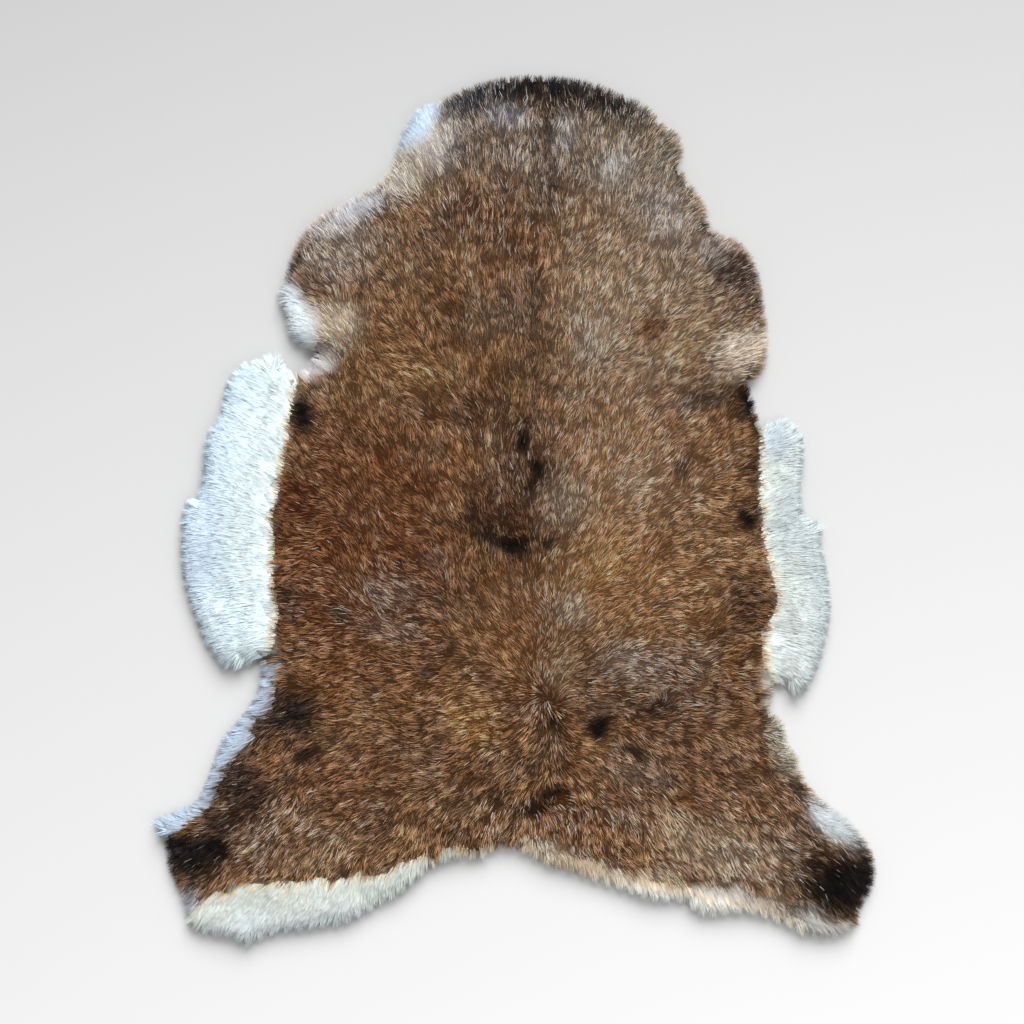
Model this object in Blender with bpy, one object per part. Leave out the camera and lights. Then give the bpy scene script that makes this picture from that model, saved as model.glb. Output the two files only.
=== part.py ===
"""Shorn sheepskin lying flat with its wool up: neck, two shoulders, two belly lobes and two hind legs.

The pelt is one closed slab. Its underside is the flat hide, and its top is the lumpy wool, which rolls
down to small locks all round the rim. Lengths are in metres unless a name or a heading says millimetres.
+Y runs to the neck, +X to the right of the photograph, +Z up out of the wool.
"""
import math
import random
from collections import namedtuple

import bmesh
import bpy
import numpy as np
from mathutils import Vector, noise
from mathutils.geometry import delaunay_2d_cdt

MM = 0.001
NAME = "sheepskin"

# The pile and its rim
PILE_HEIGHT = 0.024
RIM_HEIGHT = 0.006
RIM_THICKNESS = 0.0016
RIM_ROUND = 0.027
HIDE_INSET = 0.011

# The locks round the rim
LOCK_WIDTH = 0.0145
LOCK_LENGTH_MIN = 0.002
LOCK_LENGTH_MAX = 0.0065
LOCK_GAP = 0.0018
LOCK_LEAN = 0.0025
LOCK_DROOP = 0.0028
TIGHT_TURN = 0.45
TIGHT_LENGTH = 0.15

# Points on the pile: rows that follow the rim, then an even field
RidgeRow = namedtuple("RidgeRow", "inset ridge every")
RIDGE_ROWS = (
    RidgeRow(0.0060, 0.0016, 1),
    RidgeRow(0.0125, 0.0010, 2),
    RidgeRow(0.0200, 0.0004, 2),
)
FIELD_STEP = 0.0148
FIELD_JITTER = 0.2
FIELD_INSET = 0.027
UNDERSIDE_STEP = 0.070

# Edge of the pelt in millimetres. Each stretch runs smoothly and ends in a corner.
Stretch = namedtuple("Stretch", "name points")
EDGE = (
    Stretch("neck", (
        (196, 408), (191, 427), (172, 445), (152, 465), (125, 476), (93, 489), (59, 496), (19, 498), (-21, 494),
        (-52, 485), (-85, 469), (-110, 459), (-125, 439), (-134, 415), (-140, 396))),
    Stretch("left shoulder", (
        (-154, 377), (-181, 359), (-213, 343), (-241, 320), (-256, 291), (-264, 263), (-271, 241), (-262, 221),
        (-258, 198), (-243, 184), (-229, 176))),
    Stretch("left elbow", ((-239, 163), (-248, 155))),
    Stretch("left belly", (
        (-259, 161), (-270, 174), (-289, 172), (-313, 163), (-328, 143), (-336, 108), (-351, 83), (-355, 49),
        (-362, 18), (-375, 6), (-380, -36), (-377, -82), (-364, -124), (-347, -162), (-326, -182), (-290, -174))),
    Stretch("left flank", ((-290, -199), (-306, -231), (-331, -262), (-346, -298), (-364, -335), (-387, -347),
                           (-415, -359))),
    Stretch("left hock", ((-402, -381), (-397, -411), (-386, -438), (-378, -455))),
    Stretch("left heel", ((-371, -477), (-354, -486), (-325, -491), (-304, -500))),
    Stretch("left thigh", ((-282, -489), (-239, -482), (-194, -474), (-160, -457), (-126, -438), (-101, -417),
                           (-66, -401), (-39, -401))),
    Stretch("right thigh", (
        (-20, -392), (5, -392), (36, -407), (76, -420), (122, -435), (163, -448), (194, -450), (211, -462),
        (228, -466), (260, -462), (304, -474), (339, -489), (366, -492), (394, -481))),
    Stretch("right hock", (
        (401, -457), (415, -427), (412, -394), (392, -363), (362, -338), (336, -310), (327, -284), (316, -266),
        (312, -247), (295, -229))),
    Stretch("right flank", ((303, -198),)),
    Stretch("right belly", (
        (325, -210), (346, -184), (358, -145), (363, -112), (358, -66), (352, -38), (352, -20), (336, -8),
        (329, 25), (332, 62), (328, 86), (310, 101), (283, 97))),
    Stretch("right elbow", ((279, 118), (271, 140))),
    Stretch("right shoulder", ((287, 159), (293, 192), (288, 239), (278, 283), (259, 308), (228, 325),
                               (221, 350), (205, 373), (193, 392))),
)

# Soft swells and hollows of the pile, in millimetres and degrees
Swell = namedtuple("Swell", "name x y reach_x reach_y turn height")
SWELLS = (
    Swell("neck pad", 50, 400, 120, 75, 0, 3.0),
    Swell("neck left", -80, 405, 50, 50, 25, 2.0),
    Swell("left shoulder", -185, 275, 75, 62, 30, 3.5),
    Swell("left elbow", -215, 205, 45, 28, 0, 2.5),
    Swell("right shoulder", 215, 245, 55, 80, -10, 3.5),
    Swell("right elbow", 245, 170, 45, 30, 0, 2.0),
    Swell("withers left", -70, 215, 60, 80, 10, 2.0),
    Swell("withers right", 115, 200, 50, 75, -10, 2.0),
    Swell("saddle", 5, 40, 80, 40, 0, 2.0),
    Swell("left belly lobe", -322, -10, 40, 150, 3, 7.0),
    Swell("right belly lobe", 325, -60, 30, 125, 2, 7.0),
    Swell("left side", -195, -30, 70, 95, 0, 2.5),
    Swell("right side", 185, -20, 75, 110, 0, 2.5),
    Swell("left rump", -65, -255, 85, 60, 0, 3.0),
    Swell("right rump", 130, -195, 90, 55, 0, 2.5),
    Swell("left leg", -265, -345, 90, 60, 30, 3.0),
    Swell("right leg", 260, -375, 90, 50, -30, 2.5),
    Swell("left hock", -372, -405, 36, 55, 0, -4.0),
    Swell("right hock", 380, -428, 32, 42, 0, -4.5),
    Swell("saddle whorl", 2, -42, 20, 17, 0, -7.0),
    Swell("left fleck", -10, 78, 13, 10, 0, -3.0),
    Swell("right fleck", 262, -18, 10, 14, 0, -4.0),
    Swell("rump whorl", 38, -243, 15, 13, 0, -4.5),
    Swell("rump fleck", 96, -248, 12, 10, 0, -3.0),
    Swell("right rump fleck", 163, -226, 14, 11, 0, -4.0),
    Swell("croup fleck", 134, -271, 12, 10, 0, -3.5),
    Swell("tail whorl", 47, -330, 27, 13, -18, -5.0),
)

# Main creases of the pile, in millimetres: troughs are negative, ridges positive
Crease = namedtuple("Crease", "name x0 y0 x1 y1 width height")
CREASES = (
    Crease("waist left", -246, 96, -120, 92, 9, -3.0),
    Crease("waist middle", -120, 92, 53, 88, 9, -2.4),
    Crease("elbow right", 145, 128, 262, 116, 11, -3.6),
    Crease("shoulder fold", 163, 292, 175, 256, 7, -3.0),
    Crease("shoulder fold low", 175, 256, 186, 226, 6, -2.0),
    Crease("left lobe seam high", -250, 140, -276, 20, 9, -3.4),
    Crease("left lobe seam low", -276, 20, -281, -160, 9, -3.4),
    Crease("right lobe seam high", 283, 92, 285, -30, 8, -3.2),
    Crease("right lobe seam low", 285, -30, 297, -180, 8, -3.2),
    Crease("spine neck", 26, 480, 34, 330, 15, -2.0),
    Crease("spine withers", 34, 330, 36, 130, 15, -1.6),
    Crease("whorl arm left", 2, -42, -40, -12, 8, -3.6),
    Crease("whorl arm right", 2, -42, 38, -34, 8, -3.0),
    Crease("croup parting", 40, -228, 22, -330, 9, -1.8),
    Crease("neck parting left", -40, 470, -58, 410, 12, -1.6),
    Crease("neck parting right", 118, 470, 140, 395, 12, -1.6),
)

# Uneven lumps over the whole pile, in millimetres: how wide they are and how high
Lump = namedtuple("Lump", "size height layer")
LUMPS = (
    Lump(95, 2.6, 1.3),
    Lump(44, 2.4, 4.7),
    Lump(27, 1.6, 8.1),
)

EDGE_RESOLUTION = 8
FLAT_BELOW = 0.99
WOOL_COLOUR = (0.235, 0.135, 0.075, 1.0)
WOOL_ROUGHNESS = 0.95


def clear_scene():
    for thing in list(bpy.data.objects):
        bpy.data.objects.remove(thing, do_unlink=True)


def edge_curve():
    """The pelt's edge as one closed Bezier curve, sampled to points that run round it."""
    curve = bpy.data.curves.new("pelt edge", "CURVE")
    curve.dimensions = "2D"
    curve.fill_mode = "NONE"
    curve.resolution_u = EDGE_RESOLUTION
    spline = curve.splines.new("BEZIER")
    knots = []
    for stretch in EDGE:
        for number, point in enumerate(stretch.points, 1):
            knots.append((point, number == len(stretch.points)))
    spline.bezier_points.add(len(knots) - 1)
    for knot, (point, corner) in zip(spline.bezier_points, knots):
        knot.co = (point[0] * MM, point[1] * MM, 0.0)
        handle = "VECTOR" if corner else "AUTO"
        knot.handle_left_type = handle
        knot.handle_right_type = handle
    spline.use_cyclic_u = True
    holder = bpy.data.objects.new("pelt edge", curve)
    bpy.context.scene.collection.objects.link(holder)
    bpy.context.view_layer.update()
    evaluated = holder.evaluated_get(bpy.context.evaluated_depsgraph_get())
    sampled = evaluated.to_mesh()
    points = np.array([vertex.co[:2] for vertex in sampled.vertices])
    evaluated.to_mesh_clear()
    bpy.data.objects.remove(holder, do_unlink=True)
    bpy.data.curves.remove(curve)
    return points


def even_steps(points, step):
    """Points at an even step round a closed line, an even number of them."""
    closed = np.vstack([points, points[:1]])
    lengths = np.linalg.norm(np.diff(closed, axis=0), axis=1)
    along = np.concatenate([[0.0], np.cumsum(lengths)])
    count = 2 * round(along[-1] / step / 2)
    wanted = np.arange(count) * along[-1] / count
    return np.column_stack([np.interp(wanted, along, closed[:, axis]) for axis in (0, 1)])


def outward_normals(points):
    """Unit normals out of a closed line that runs anticlockwise, and how sharply it turns at each point."""
    ahead = np.roll(points, -2, axis=0) - points
    behind = points - np.roll(points, 2, axis=0)
    heading = ahead + behind
    heading /= np.linalg.norm(heading, axis=1)[:, None]
    normals = np.column_stack([heading[:, 1], -heading[:, 0]])
    cross = behind[:, 0] * ahead[:, 1] - behind[:, 1] * ahead[:, 0]
    turns = np.arctan2(cross, (behind * ahead).sum(axis=1))
    return normals, turns


def lock_rim(points, normals, turns):
    """The rim's plan and heights: each second point is a lock's tip, the others lie between two locks."""
    chance = random.Random(41)
    rim = []
    for number, (point, normal, turn) in enumerate(zip(points, normals, turns)):
        along = np.array([-normal[1], normal[0]])
        room = TIGHT_LENGTH if turn < -TIGHT_TURN else 1.0
        length = chance.uniform(LOCK_LENGTH_MIN, LOCK_LENGTH_MAX)
        lean = chance.uniform(-LOCK_LEAN, LOCK_LEAN)
        if number % 2 == 0:
            place = point + room * (normal * length + along * lean)
            rim.append((place[0], place[1], RIM_HEIGHT - LOCK_DROOP * chance.uniform(0.5, 1.0)))
        else:
            place = point - room * normal * LOCK_GAP
            rim.append((place[0], place[1], RIM_HEIGHT))
    return np.array(rim)


def distance_to_line(points, line):
    """Distance of each point to a closed line."""
    starts = line
    spans = np.roll(line, -1, axis=0) - line
    squares = (spans ** 2).sum(axis=1)
    nearest = np.full(len(points), np.inf)
    for start, span, square in zip(starts, spans, squares):
        share = np.clip(((points - start) @ span) / square, 0.0, 1.0)
        gap = np.linalg.norm(points - start - share[:, None] * span, axis=1)
        nearest = np.minimum(nearest, gap)
    return nearest


def inside_line(points, line):
    """True for each point inside a closed line."""
    inside = np.zeros(len(points), dtype=bool)
    for (x0, y0), (x1, y1) in zip(line, np.roll(line, -1, axis=0)):
        if y0 == y1:
            continue
        crosses = (y0 > points[:, 1]) != (y1 > points[:, 1])
        at = x0 + (points[:, 1] - y0) * (x1 - x0) / (y1 - y0)
        inside ^= crosses & (points[:, 0] < at)
    return inside


def swell_height(points):
    """Height of the hand-placed swells and hollows at each point, in metres."""
    total = np.zeros(len(points))
    for swell in SWELLS:
        turn = math.radians(swell.turn)
        across = points[:, 0] - swell.x * MM
        up = points[:, 1] - swell.y * MM
        along_x = (across * math.cos(turn) + up * math.sin(turn)) / (swell.reach_x * MM)
        along_y = (up * math.cos(turn) - across * math.sin(turn)) / (swell.reach_y * MM)
        total += swell.height * MM * np.exp(-(along_x ** 2 + along_y ** 2))
    return total


def crease_height(points):
    """Height of the hand-placed creases at each point, in metres."""
    total = np.zeros(len(points))
    for crease in CREASES:
        start = np.array([crease.x0, crease.y0]) * MM
        span = np.array([crease.x1 - crease.x0, crease.y1 - crease.y0]) * MM
        share = np.clip(((points - start) @ span) / (span @ span), 0.0, 1.0)
        gap = np.linalg.norm(points - start - share[:, None] * span, axis=1)
        total += crease.height * MM * np.exp(-(gap / (crease.width * MM)) ** 2)
    return total


def lump_height(points):
    """Height of the uneven lumps of wool at each point, in metres."""
    total = np.zeros(len(points))
    for lump in LUMPS:
        places = points / (lump.size * MM)
        total += lump.height * MM * np.array([noise.noise((x, y, lump.layer)) for x, y in places])
    return total


def pile_surface(points, edge):
    """Height of the wool above the floor, rolled down towards the edge like a quarter round."""
    full = PILE_HEIGHT + swell_height(points) + crease_height(points) + lump_height(points)
    share = np.clip(distance_to_line(points, edge) / RIM_ROUND, 0.0, 1.0)
    roll = np.sqrt(1.0 - (1.0 - share) ** 2)
    return RIM_HEIGHT + (full - RIM_HEIGHT) * roll


def row_inside(points, normals, inset, every):
    """Points of a row that follows the edge at an inset, without those crowded by another stretch of edge."""
    chosen = np.arange(0, len(points), every)
    row = points[chosen] - normals[chosen] * inset
    clear = distance_to_line(row, points) > 0.85 * inset
    return row[clear], chosen[clear]


def field_points(edge, step, inset, jitter, chance):
    """A staggered field of points well inside the edge, each moved a little."""
    low = edge.min(axis=0)
    high = edge.max(axis=0)
    rise = step * math.sqrt(3) / 2
    field = []
    for line in range(int((high[1] - low[1]) / rise) + 1):
        shift = step / 2 if line % 2 else 0.0
        for place in range(int((high[0] - low[0]) / step) + 1):
            x = low[0] + shift + step * (place + chance.uniform(-jitter, jitter))
            y = low[1] + rise * (line + chance.uniform(-jitter, jitter))
            field.append((x, y))
    field = np.array(field)
    keep = inside_line(field, edge) & (distance_to_line(field, edge) > inset)
    return field[keep]


def filled_sheet(mesh, rim_vertices, rim, inner):
    """Fills the rim with triangles through the inner points, and adds them to the mesh."""
    flat = [Vector((x, y)) for x, y, z in rim] + [Vector((x, y)) for x, y, z in inner]
    outline = list(range(len(rim)))
    edges = [(a, (a + 1) % len(rim)) for a in outline]
    result = delaunay_2d_cdt(flat, edges, [outline], 1, 1e-7)
    faces = result[2]
    sources = [group[0] for group in result[3]]
    placed = {}
    for face in faces:
        corners = []
        for corner in face:
            source = sources[corner]
            if source < len(rim):
                corners.append(rim_vertices[source])
                continue
            if source not in placed:
                placed[source] = mesh.verts.new(inner[source - len(rim)])
            corners.append(placed[source])
        mesh.faces.new(corners)


def loop_edges(vertices):
    """The edges that join a closed run of vertices."""
    pairs = zip(vertices, vertices[1:] + vertices[:1])
    return [next(edge for edge in start.link_edges if edge.other_vert(start) is end) for start, end in pairs]


def wool_material():
    material = bpy.data.materials.new("wool")
    material.use_nodes = True
    surface = material.node_tree.nodes["Principled BSDF"]
    surface.inputs["Base Color"].default_value = WOOL_COLOUR
    surface.inputs["Roughness"].default_value = WOOL_ROUGHNESS
    surface.inputs["Metallic"].default_value = 0.0
    return material


def build_sheepskin():
    chance = random.Random(7)
    edge = even_steps(edge_curve(), LOCK_WIDTH / 2)
    normals, turns = outward_normals(edge)
    rim = lock_rim(edge, normals, turns)

    pile_rows = []
    ridges = []
    for row in RIDGE_ROWS:
        points, sources = row_inside(edge, normals, row.inset, row.every)
        pile_rows.append(points)
        ridges.append(np.where(sources % 2 == 0, row.ridge, -row.ridge))
    field = field_points(edge, FIELD_STEP, FIELD_INSET, FIELD_JITTER, chance)
    pile_plan = np.vstack(pile_rows + [field])
    lifts = np.concatenate(ridges + [np.zeros(len(field))])
    pile = np.column_stack([pile_plan, pile_surface(pile_plan, edge) + lifts])

    hide_row, _ = row_inside(edge, normals, HIDE_INSET, 2)
    hide_field = field_points(edge, UNDERSIDE_STEP, UNDERSIDE_STEP / 2, 0.0, chance)
    hide_plan = np.vstack([hide_row, hide_field])
    underside = np.column_stack([hide_plan, np.zeros(len(hide_plan))])

    mesh = bmesh.new()
    upper_rim = [mesh.verts.new((x, y, z + RIM_THICKNESS / 2)) for x, y, z in rim]
    lower_rim = [mesh.verts.new((x, y, z - RIM_THICKNESS / 2)) for x, y, z in rim]
    filled_sheet(mesh, upper_rim, rim, pile)
    filled_sheet(mesh, lower_rim, rim, underside)
    bmesh.ops.bridge_loops(mesh, edges=loop_edges(upper_rim) + loop_edges(lower_rim))
    middle = (rim.min(axis=0) + rim.max(axis=0)) / 2
    bmesh.ops.translate(mesh, verts=mesh.verts, vec=(-middle[0], -middle[1], 0.0))
    bmesh.ops.recalc_face_normals(mesh, faces=mesh.faces)
    for face in mesh.faces:
        face.smooth = face.normal.z > -FLAT_BELOW
    data = bpy.data.meshes.new(NAME)
    mesh.to_mesh(data)
    mesh.free()
    data.materials.append(wool_material())
    pelt = bpy.data.objects.new(NAME, data)
    collection = bpy.data.collections.new("shorn sheepskin")
    bpy.context.scene.collection.children.link(collection)
    collection.objects.link(pelt)
    return pelt


clear_scene()
build_sheepskin()
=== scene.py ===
"""Looks of the shorn sheepskin: its suede hide below, the matted underwool, and the shorn locks on top."""
import math
from collections import namedtuple

import bmesh
import bpy
import numpy as np
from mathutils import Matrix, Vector
from mathutils.bvhtree import BVHTree


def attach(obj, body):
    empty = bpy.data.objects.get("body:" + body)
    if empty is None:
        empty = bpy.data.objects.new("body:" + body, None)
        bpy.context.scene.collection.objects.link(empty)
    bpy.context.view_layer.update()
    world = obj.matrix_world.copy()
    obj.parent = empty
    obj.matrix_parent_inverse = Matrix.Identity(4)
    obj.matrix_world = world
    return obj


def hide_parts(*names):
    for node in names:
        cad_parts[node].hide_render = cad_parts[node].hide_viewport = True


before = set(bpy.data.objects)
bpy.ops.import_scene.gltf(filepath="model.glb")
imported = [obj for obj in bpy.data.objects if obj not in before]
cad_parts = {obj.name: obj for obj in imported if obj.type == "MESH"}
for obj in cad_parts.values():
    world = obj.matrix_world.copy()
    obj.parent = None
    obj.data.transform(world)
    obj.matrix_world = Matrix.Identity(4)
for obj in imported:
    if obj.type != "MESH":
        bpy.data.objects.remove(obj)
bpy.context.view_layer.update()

MM = 0.001
PELT = "sheepskin"
MIDDLE = (0.00115, 0.0003)

# Edge of the pelt in millimetres. Each stretch runs smoothly and ends in a corner.
Stretch = namedtuple("Stretch", "name points")
EDGE = (
    Stretch("neck", (
        (196, 408), (191, 427), (172, 445), (152, 465), (125, 476), (93, 489), (59, 496), (19, 498), (-21, 494),
        (-52, 485), (-85, 469), (-110, 459), (-125, 439), (-134, 415), (-140, 396))),
    Stretch("left shoulder", (
        (-154, 377), (-181, 359), (-213, 343), (-241, 320), (-256, 291), (-264, 263), (-271, 241), (-262, 221),
        (-258, 198), (-243, 184), (-229, 176))),
    Stretch("left elbow", ((-239, 163), (-248, 155))),
    Stretch("left belly", (
        (-259, 161), (-270, 174), (-289, 172), (-313, 163), (-328, 143), (-336, 108), (-351, 83), (-355, 49),
        (-362, 18), (-375, 6), (-380, -36), (-377, -82), (-364, -124), (-347, -162), (-326, -182), (-290, -174))),
    Stretch("left flank", ((-290, -199), (-306, -231), (-331, -262), (-346, -298), (-364, -335), (-387, -347),
                           (-415, -359))),
    Stretch("left hock", ((-402, -381), (-397, -411), (-386, -438), (-378, -455))),
    Stretch("left heel", ((-371, -477), (-354, -486), (-325, -491), (-304, -500))),
    Stretch("left thigh", ((-282, -489), (-239, -482), (-194, -474), (-160, -457), (-126, -438), (-101, -417),
                           (-66, -401), (-39, -401))),
    Stretch("right thigh", (
        (-20, -392), (5, -392), (36, -407), (76, -420), (122, -435), (163, -448), (194, -450), (211, -462),
        (228, -466), (260, -462), (304, -474), (339, -489), (366, -492), (394, -481))),
    Stretch("right hock", (
        (401, -457), (415, -427), (412, -394), (392, -363), (362, -338), (336, -310), (327, -284), (316, -266),
        (312, -247), (295, -229))),
    Stretch("right flank", ((303, -198),)),
    Stretch("right belly", (
        (325, -210), (346, -184), (358, -145), (363, -112), (358, -66), (352, -38), (352, -20), (336, -8),
        (329, 25), (332, 62), (328, 86), (310, 101), (283, 97))),
    Stretch("right elbow", ((279, 118), (271, 140))),
    Stretch("right shoulder", ((287, 159), (293, 192), (288, 239), (278, 283), (259, 308), (228, 325),
                               (221, 350), (205, 373), (193, 392))),
)
EDGE_RESOLUTION = 8
EDGE_STEP = 0.006

# Which way the wool lies, read off the pelt: degrees from +X, towards the tips
Lay = namedtuple("Lay", "x y heading")
LAYS = tuple(Lay(*row) for row in (
    (30, 460, 90), (-50, 460, 100), (-108, 400, 122), (122, 460, 72), (170, 390, 52),
    (-210, 320, 128), (-165, 240, 124), (-245, 225, 165), (240, 275, 48), (270, 185, 22),
    (157, 300, 60), (-73, 240, 106), (25, 240, 90), (98, 217, 63),
    (-210, 90, 138), (-108, 90, 120), (-15, 80, 97), (100, 80, 62), (203, 90, 40), (272, 90, 15),
    (-245, -12, 152), (-130, -12, 135), (-38, -12, 112), (54, -12, 68), (157, -12, 42),
    (260, -12, 15), (-315, 125, 160), (-326, -12, 178), (-314, -128, 198), (330, 68, 15),
    (330, -58, 2), (335, -170, 338), (-245, -128, 168), (-130, -128, 152), (-15, -128, 112),
    (100, -128, 40), (214, -128, 14), (-73, -220, 180), (-245, -220, 190), (-280, -266, 202),
    (157, -220, 2), (260, -220, 352), (-15, -289, 212), (-130, -312, 196), (-245, -335, 206),
    (-338, -370, 200), (100, -289, 338), (214, -323, 332), (330, -392, 328), (-326, -461, 240),
    (-211, -450, 252), (-96, -392, 248), (-15, -370, 256), (54, -381, 290), (157, -415, 296),
    (260, -438, 300), (352, -461, 315),
))
LAY_SOFTNESS = 0.030

# Places where the wool parts and lies outwards all round, in millimetres
Whorl = namedtuple("Whorl", "name x y reach")
WHORLS = tuple(Whorl(*row) for row in (
    ("rump whorl", 42, -222, 8),
    ("saddle whorl", 2, -44, 8),
    ("tail whorl", 50, -330, 10),
    ("right rump fleck", 165, -225, 10),
    ("rump fleck", 95, -248, 9),
))

# The locks
Coat = namedtuple("Coat", "name spacing length width depth bow bent pale seed")
COATS = tuple(Coat(*row) for row in (
    ("shorn wool", 1.86, 13.0, 1.15, 8.8, 0.0, False, False, 11),
    ("longer hairs", 4.0, 16.5, 1.1, 8.6, 0.0, False, False, 12),
    ("belly wool", 1.62, 15.0, 1.8, 5.0, 0.0, False, True, 13),
    ("belly locks", 4.2, 17.0, 1.4, 5.0, 0.8, True, True, 14),
))
LOCK_FLATNESS = 0.62      # a lock's height against its width
BEND_WIDTH = 0.8          # its width at the bend against the root
SHOWN_AT = 0.62           # where along a lock it is mostly seen
STATIONS = (0.30, 0.80)   # where along a lock its colours are looked up
SOFTNESS = (0.28, 0.95)   # share of the pile's own facing in the shading: brown wool, white wool
CALM = 0.6                # how much less white wool strays

# Each lock's own share of its coat's measures: least and most
LENGTHS = (0.75, 1.2)
DEPTHS = (0.85, 1.1)
BOWS = (0.6, 1.3)
WIDTHS = (0.7, 1.25)
GATHERS = (0.5, 1.2)

# How steeply the locks stand, in degrees, and what changes it
LAY_ANGLE = 32.0
LAY_SPREAD = 8.0
LAY_TUFT = 10
LAY_LIMITS = (4, 74)
PALE_LAY = -24.0
RIM_LAY = -16.0

# How far the locks stray from the lay: waves of a length in millimetres, a spread in degrees and a layer
HEADING_SPREAD = 9.0
HEADING_WAVES = ((58, 12.0, 61), (24, 13.0, 62), (10, 9.0, 63))
WAVE_STRENGTH = 1.6

# Wisps and tufts that the tips gather in: size in millimetres, pull and layer
WISP = (3.1, 0.50, 53)
TUFTS = ((11.0, 0.34, 51), (25.0, 0.16, 52))
WISP_STEP = 0.0022
GATHER_AT = 0.85
MOST_GATHERED = 0.8

# The rim, over RIM_TURN metres from the edge. Pairs are for brown wool and white wool.
RIM_TURN = 0.024
RIM_INSET = 0.0018
RIM_OUTWARD = 0.8
RIM_SHORTER = (0.32, 0.56)
RIM_EVEN = (0.35, 0.62)
RIM_RAGGED = ((-0.0012, 0.0020), (0.0002, 0.0040))
LINE_REACH = 0.012        # brown wool is shorter this near to the white belly lobes
LINE_SHORTER = 0.45

# The whorls
WHORL_RISE = 18.0
WHORL_TWIST = 0.9
WHORL_WIDER = 1.8
WHORL_PULL = 0.6

# The lowest place of a lock's root, bend and tip
ROOT_CLEARANCE = 0.0025
FLOOR_CLEARANCE = 0.0007
BEND_CLEARANCE = FLOOR_CLEARANCE + 0.001

# The hide and the underwool
HIDE_THICKNESS = 0.0018
HIDE_CUT_BACK = 0.0125
UNDERWOOL_SINK = 0.0050
UNDERWOOL_BACK = 0.0048
SWEEP_ROW = 0.012         # locks are listed in rows this high

# Pieces of the coat: one mesh for each part of the pelt
Region = namedtuple("Region", "name x y")
REGIONS = tuple(Region(*row) for row in (
    ("neck_wool", 30, 400),
    ("left_shoulder_wool", -170, 235),
    ("right_shoulder_wool", 190, 215),
    ("left_side_wool", -235, -15),
    ("saddle_wool", 15, 60),
    ("right_side_wool", 270, -20),
    ("left_leg_wool", -260, -320),
    ("rump_wool", 20, -240),
    ("right_leg_wool", 270, -340),
))

# Colours of the coat, as seen: red, green and blue from 0 to 255
BROWN = (118, 79, 48)

# White wool begins at these lines, in millimetres: past the line along one axis, to one side of it. It passes
# from a band along the line through an inner colour to an outer one, over two depths past the line.
WhiteArea = namedtuple("WhiteArea", "name axis side ragged band inner outer depths line")
WHITE_AREAS = (
    WhiteArea("left belly", 0, -1, 0.2, (232, 212, 170), (214, 228, 230), (203, 223, 240), (30, 75), (
        (-268, 182), (-255, 169), (-247, 153), (-249, 146), (-256, 131), (-260, 110), (-261, 86), (-268, 57),
        (-274, 23), (-280, -7), (-279, -41), (-281, -76), (-275, -114), (-278, -151), (-284, -169), (-290, -189))),
    WhiteArea("right belly", 0, 1, 0.35, (230, 212, 176), (210, 219, 215), (193, 204, 206), (14, 50), (
        (281, 114), (286, 99), (286, 60), (286, 15), (288, -1), (288, -30), (296, -55), (303, -85),
        (307, -101), (304, -113), (297, -128), (288, -148), (291, -176), (297, -197), (304, -212))),
    WhiteArea("left thigh", 1, -1, 2.0, (230, 212, 176), (207, 213, 206), (205, 214, 214), (14, 40), (
        (-377, -467), (-361, -452), (-332, -440), (-301, -431), (-269, -436), (-219, -427), (-181, -424),
        (-144, -415), (-113, -408), (-81, -400), (-50, -394), (-27, -392))),
    WhiteArea("left flank", 0, -1, 1.9, (128, 122, 126), (170, 178, 192), (184, 200, 218), (3, 14), (
        (-268, -186), (-276, -199), (-279, -213), (-282, -225), (-288, -238), (-298, -250), (-304, -263),
        (-316, -275), (-324, -288), (-335, -300), (-339, -313), (-345, -325), (-347, -338), (-358, -350),
        (-370, -363), (-388, -371), (-404, -376))),
    WhiteArea("right thigh", 1, -1, 0.8, (214, 188, 156), (244, 236, 220), (244, 246, 240), (4, 14), (
        (7, -387), (49, -408), (85, -418), (118, -423), (142, -428), (172, -431), (205, -437), (235, -444),
        (266, -450), (296, -458), (326, -474))),
)
BELLY_LOBES = WHITE_AREAS[:2]
BAND_DEPTHS = (0.0015, 0.004)
WHITE_DEPTH = 0.006
LINE_END = 0.010
PALE_FROM = 0.30
PALE_FULL = 0.55

# How far the marks stray from their drawn places: length and reach in millimetres, and two layers
WANDERS = ((15, 4, 31, 32), (5, 2.0, 33, 34))

# Mottles all over the brown wool: the length over which each comes and goes, in millimetres, and its share
Mottle = namedtuple("Mottle", "name size layer colour share")
MOTTLES = tuple(Mottle(*row) for row in (
    ("rust", 42, 37, (128, 70, 32), 0.50),
    ("tan", 30, 35, (168, 128, 86), 0.42),
    ("silver", 23, 40, (156, 136, 118), 0.30),
    ("gold", 17, 38, (176, 124, 66), 0.34),
    ("umber", 14, 39, (70, 44, 27), 0.50),
    ("fleck", 7, 41, (50, 32, 22), 0.42),
))

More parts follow.
